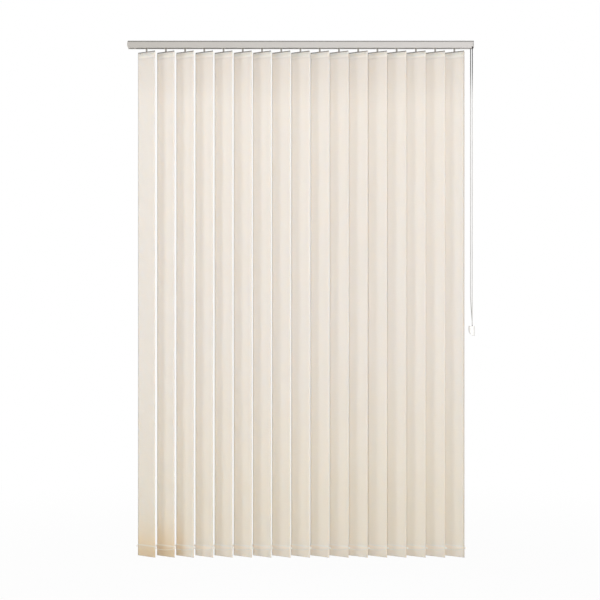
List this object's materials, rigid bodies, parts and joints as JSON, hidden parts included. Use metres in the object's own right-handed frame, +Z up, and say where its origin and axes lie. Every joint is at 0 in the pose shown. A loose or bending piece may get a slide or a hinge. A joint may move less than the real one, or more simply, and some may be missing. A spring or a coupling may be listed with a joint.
{
  "type": "vertical blind",
  "caption": "Vertical blind: fabric slats hang on hooks from carriers in a channel rail, turn together and draw to one side, with a cord loop and bottom chains.",
  "frame": {"origin": "middle of the ceiling plane, halfway between the two bracket screws", "axes": "+X along the rail to the control end, +Y away from the room towards the window, +Z up"},
  "size_m": [1.4433, 0.0514, 2.1434],
  "materials": {
    "rail_paint": "satin light grey paint",
    "bracket_steel": "plated sheet steel",
    "cap_plastic": "fine matt light grey",
    "rod_aluminium": "drawn",
    "carrier_plastic": "moulded, ivory",
    "fittings_plastic": "moulded, grey",
    "slat_fabric": "plain weave, cream, stiffened",
    "white_plastic": "white, slightly glossy",
    "cord_yarn": "braided, light grey"
  },
  "bodies": {
    "rail": {"headrail": "rail_paint", "ceiling_brackets": "bracket_steel", "idle_end_cap": "cap_plastic", "control_end_cap": "cap_plastic", "carrier_17": "carrier_plastic", "control_cord": "cord_yarn", "cord_weight": "white_plastic"},
    "tilt_rod": {"tilt_rod": "rod_aluminium"},
    "carrier_01": {"carrier_01": "carrier_plastic"},
    "carrier_02": {"carrier_02": "carrier_plastic"},
    "carrier_03": {"carrier_03": "carrier_plastic"},
    "carrier_04": {"carrier_04": "carrier_plastic"},
    "carrier_05": {"carrier_05": "carrier_plastic"},
    "carrier_06": {"carrier_06": "carrier_plastic"},
    "carrier_07": {"carrier_07": "carrier_plastic"},
    "carrier_08": {"carrier_08": "carrier_plastic"},
    "carrier_09": {"carrier_09": "carrier_plastic"},
    "carrier_10": {"carrier_10": "carrier_plastic"},
    "carrier_11": {"carrier_11": "carrier_plastic"},
    "carrier_12": {"carrier_12": "carrier_plastic"},
    "carrier_13": {"carrier_13": "carrier_plastic"},
    "carrier_14": {"carrier_14": "carrier_plastic"},
    "carrier_15": {"carrier_15": "carrier_plastic"},
    "carrier_16": {"carrier_16": "carrier_plastic"},
    "louvre_01": {"slat_fittings_01": "fittings_plastic", "slat_01": "slat_fabric"},
    "louvre_02": {"slat_fittings_02": "fittings_plastic", "slat_02": "slat_fabric"},
    "louvre_03": {"slat_fittings_03": "fittings_plastic", "slat_03": "slat_fabric"},
    "louvre_04": {"slat_fittings_04": "fittings_plastic", "slat_04": "slat_fabric"},
    "louvre_05": {"slat_fittings_05": "fittings_plastic", "slat_05": "slat_fabric"},
    "louvre_06": {"slat_fittings_06": "fittings_plastic", "slat_06": "slat_fabric"},
    "louvre_07": {"slat_fittings_07": "fittings_plastic", "slat_07": "slat_fabric"},
    "louvre_08": {"slat_fittings_08": "fittings_plastic", "slat_08": "slat_fabric"},
    "louvre_09": {"slat_fittings_09": "fittings_plastic", "slat_09": "slat_fabric"},
    "louvre_10": {"slat_fittings_10": "fittings_plastic", "slat_10": "slat_fabric"},
    "louvre_11": {"slat_fittings_11": "fittings_plastic", "slat_11": "slat_fabric"},
    "louvre_12": {"slat_fittings_12": "fittings_plastic", "slat_12": "slat_fabric"},
    "louvre_13": {"slat_fittings_13": "fittings_plastic", "slat_13": "slat_fabric"},
    "louvre_14": {"slat_fittings_14": "fittings_plastic", "slat_14": "slat_fabric"},
    "louvre_15": {"slat_fittings_15": "fittings_plastic", "slat_15": "slat_fabric"},
    "louvre_16": {"slat_fittings_16": "fittings_plastic", "slat_16": "slat_fabric"},
    "louvre_17": {"slat_fittings_17": "fittings_plastic", "slat_17": "slat_fabric"},
    "front_chain": {"front_chain": "white_plastic"},
    "rear_chain": {"rear_chain": "white_plastic"}
  },
  "joints": [
    {"name": "carrier_01_slide", "type": "slide", "parent": "rail", "child": "carrier_01", "axis": [1, 0, 0], "range_m": [0, 0.992], "deforming": ["front_chain", "rear_chain"]},
    {"name": "carrier_02_slide", "type": "slide", "parent": "rail", "child": "carrier_02", "axis": [1, 0, 0], "range_m": [0, 0.93]},
    {"name": "carrier_03_slide", "type": "slide", "parent": "rail", "child": "carrier_03", "axis": [1, 0, 0], "range_m": [0, 0.868]},
    {"name": "carrier_04_slide", "type": "slide", "parent": "rail", "child": "carrier_04", "axis": [1, 0, 0], "range_m": [0, 0.806]},
    {"name": "carrier_05_slide", "type": "slide", "parent": "rail", "child": "carrier_05", "axis": [1, 0, 0], "range_m": [0, 0.744]},
    {"name": "carrier_06_slide", "type": "slide", "parent": "rail", "child": "carrier_06", "axis": [1, 0, 0], "range_m": [0, 0.682]},
    {"name": "carrier_07_slide", "type": "slide", "parent": "rail", "child": "carrier_07", "axis": [1, 0, 0], "range_m": [0, 0.62]},
    {"name": "carrier_08_slide", "type": "slide", "parent": "rail", "child": "carrier_08", "axis": [1, 0, 0], "range_m": [0, 0.558]},
    {"name": "carrier_09_slide", "type": "slide", "parent": "rail", "child": "carrier_09", "axis": [1, 0, 0], "range_m": [0, 0.496]},
    {"name": "carrier_10_slide", "type": "slide", "parent": "rail", "child": "carrier_10", "axis": [1, 0, 0], "range_m": [0, 0.434]},
    {"name": "carrier_11_slide", "type": "slide", "parent": "rail", "child": "carrier_11", "axis": [1, 0, 0], "range_m": [0, 0.372]},
    {"name": "carrier_12_slide", "type": "slide", "parent": "rail", "child": "carrier_12", "axis": [1, 0, 0], "range_m": [0, 0.31]},
    {"name": "carrier_13_slide", "type": "slide", "parent": "rail", "child": "carrier_13", "axis": [1, 0, 0], "range_m": [0, 0.248]},
    {"name": "carrier_14_slide", "type": "slide", "parent": "rail", "child": "carrier_14", "axis": [1, 0, 0], "range_m": [0, 0.186]},
    {"name": "carrier_15_slide", "type": "slide", "parent": "rail", "child": "carrier_15", "axis": [1, 0, 0], "range_m": [0, 0.124]},
    {"name": "carrier_16_slide", "type": "slide", "parent": "rail", "child": "carrier_16", "axis": [1, 0, 0], "range_m": [0, 0.062]},
    {"name": "louvre_17_tilt", "type": "hinge", "parent": "rail", "child": "louvre_17", "pos_m": [0.64, 0, -0.03], "axis": [0, 0, 1], "range_deg": [-142, 22], "deforming": ["front_chain", "rear_chain"]},
    {"name": "louvre_01_tilt", "type": "hinge", "parent": "carrier_01", "child": "louvre_01", "pos_m": [-0.64, 0, -0.03], "axis": [0, 0, 1], "range_deg": [-142, 22]},
    {"name": "louvre_02_tilt", "type": "hinge", "parent": "carrier_02", "child": "louvre_02", "pos_m": [-0.56, 0, -0.03], "axis": [0, 0, 1], "range_deg": [-142, 22]},
    {"name": "louvre_03_tilt", "type": "hinge", "parent": "carrier_03", "child": "louvre_03", "pos_m": [-0.48, 0, -0.03], "axis": [0, 0, 1], "range_deg": [-142, 22]},
    {"name": "louvre_04_tilt", "type": "hinge", "parent": "carrier_04", "child": "louvre_04", "pos_m": [-0.4, 0, -0.03], "axis": [0, 0, 1], "range_deg": [-142, 22]},
    {"name": "louvre_05_tilt", "type": "hinge", "parent": "carrier_05", "child": "louvre_05", "pos_m": [-0.32, 0, -0.03], "axis": [0, 0, 1], "range_deg": [-142, 22]},
    {"name": "louvre_06_tilt", "type": "hinge", "parent": "carrier_06", "child": "louvre_06", "pos_m": [-0.24, 0, -0.03], "axis": [0, 0, 1], "range_deg": [-142, 22]},
    {"name": "louvre_07_tilt", "type": "hinge", "parent": "carrier_07", "child": "louvre_07", "pos_m": [-0.16, 0, -0.03], "axis": [0, 0, 1], "range_deg": [-142, 22]},
    {"name": "louvre_08_tilt", "type": "hinge", "parent": "carrier_08", "child": "louvre_08", "pos_m": [-0.08, 0, -0.03], "axis": [0, 0, 1], "range_deg": [-142, 22]},
    {"name": "louvre_09_tilt", "type": "hinge", "parent": "carrier_09", "child": "louvre_09", "pos_m": [0, 0, -0.03], "axis": [0, 0, 1], "range_deg": [-142, 22]},
    {"name": "louvre_10_tilt", "type": "hinge", "parent": "carrier_10", "child": "louvre_10", "pos_m": [0.08, 0, -0.03], "axis": [0, 0, 1], "range_deg": [-142, 22]},
    {"name": "louvre_11_tilt", "type": "hinge", "parent": "carrier_11", "child": "louvre_11", "pos_m": [0.16, 0, -0.03], "axis": [0, 0, 1], "range_deg": [-142, 22]},
    {"name": "louvre_12_tilt", "type": "hinge", "parent": "carrier_12", "child": "louvre_12", "pos_m": [0.24, 0, -0.03], "axis": [0, 0, 1], "range_deg": [-142, 22]},
    {"name": "louvre_13_tilt", "type": "hinge", "parent": "carrier_13", "child": "louvre_13", "pos_m": [0.32, 0, -0.03], "axis": [0, 0, 1], "range_deg": [-142, 22]},
    {"name": "louvre_14_tilt", "type": "hinge", "parent": "carrier_14", "child": "louvre_14", "pos_m": [0.4, 0, -0.03], "axis": [0, 0, 1], "range_deg": [-142, 22]},
    {"name": "louvre_15_tilt", "type": "hinge", "parent": "carrier_15", "child": "louvre_15", "pos_m": [0.48, 0, -0.03], "axis": [0, 0, 1], "range_deg": [-142, 22]},
    {"name": "louvre_16_tilt", "type": "hinge", "parent": "carrier_16", "child": "louvre_16", "pos_m": [0.56, 0, -0.03], "axis": [0, 0, 1], "range_deg": [-142, 22]},
    {"name": "tilt_rod_turn", "type": "hinge", "parent": "rail", "child": "tilt_rod", "pos_m": [0, 0, -0.0165], "axis": [1, 0, 0], "continuous": true},
    {"name": "front_chain_swing", "type": "hinge", "parent": "louvre_17", "child": "front_chain", "pos_m": [0.68244, -0.0245, -2.1049], "axis": [0, 0, 1], "range_deg": [-22, 142]},
    {"name": "rear_chain_swing", "type": "hinge", "parent": "louvre_17", "child": "rear_chain", "pos_m": [0.59756, 0.0245, -2.1049], "axis": [0, 0, 1], "range_deg": [-22, 142]}
  ],
  "couplings": [
    {"joint": "carrier_02_slide", "follows": "carrier_01_slide", "ratio": 0.9375},
    {"joint": "carrier_03_slide", "follows": "carrier_01_slide", "ratio": 0.875},
    {"joint": "carrier_04_slide", "follows": "carrier_01_slide", "ratio": 0.8125},
    {"joint": "carrier_05_slide", "follows": "carrier_01_slide", "ratio": 0.75},
    {"joint": "carrier_06_slide", "follows": "carrier_01_slide", "ratio": 0.6875},
    {"joint": "carrier_07_slide", "follows": "carrier_01_slide", "ratio": 0.625},
    {"joint": "carrier_08_slide", "follows": "carrier_01_slide", "ratio": 0.5625},
    {"joint": "carrier_09_slide", "follows": "carrier_01_slide", "ratio": 0.5},
    {"joint": "carrier_10_slide", "follows": "carrier_01_slide", "ratio": 0.4375},
    {"joint": "carrier_11_slide", "follows": "carrier_01_slide", "ratio": 0.375},
    {"joint": "carrier_12_slide", "follows": "carrier_01_slide", "ratio": 0.3125},
    {"joint": "carrier_13_slide", "follows": "carrier_01_slide", "ratio": 0.25},
    {"joint": "carrier_14_slide", "follows": "carrier_01_slide", "ratio": 0.1875},
    {"joint": "carrier_15_slide", "follows": "carrier_01_slide", "ratio": 0.125},
    {"joint": "carrier_16_slide", "follows": "carrier_01_slide", "ratio": 0.0625},
    {"joint": "louvre_01_tilt", "follows": "louvre_17_tilt", "ratio": 1},
    {"joint": "louvre_02_tilt", "follows": "louvre_17_tilt", "ratio": 1},
    {"joint": "louvre_03_tilt", "follows": "louvre_17_tilt", "ratio": 1},
    {"joint": "louvre_04_tilt", "follows": "louvre_17_tilt", "ratio": 1},
    {"joint": "louvre_05_tilt", "follows": "louvre_17_tilt", "ratio": 1},
    {"joint": "louvre_06_tilt", "follows": "louvre_17_tilt", "ratio": 1},
    {"joint": "louvre_07_tilt", "follows": "louvre_17_tilt", "ratio": 1},
    {"joint": "louvre_08_tilt", "follows": "louvre_17_tilt", "ratio": 1},
    {"joint": "louvre_09_tilt", "follows": "louvre_17_tilt", "ratio": 1},
    {"joint": "louvre_10_tilt", "follows": "louvre_17_tilt", "ratio": 1},
    {"joint": "louvre_11_tilt", "follows": "louvre_17_tilt", "ratio": 1},
    {"joint": "louvre_12_tilt", "follows": "louvre_17_tilt", "ratio": 1},
    {"joint": "louvre_13_tilt", "follows": "louvre_17_tilt", "ratio": 1},
    {"joint": "louvre_14_tilt", "follows": "louvre_17_tilt", "ratio": 1},
    {"joint": "louvre_15_tilt", "follows": "louvre_17_tilt", "ratio": 1},
    {"joint": "louvre_16_tilt", "follows": "louvre_17_tilt", "ratio": 1},
    {"joint": "tilt_rod_turn", "follows": "louvre_17_tilt", "ratio": 4},
    {"joint": "front_chain_swing", "follows": "louvre_17_tilt", "ratio": -1},
    {"joint": "rear_chain_swing", "follows": "louvre_17_tilt", "ratio": -1}
  ]
}
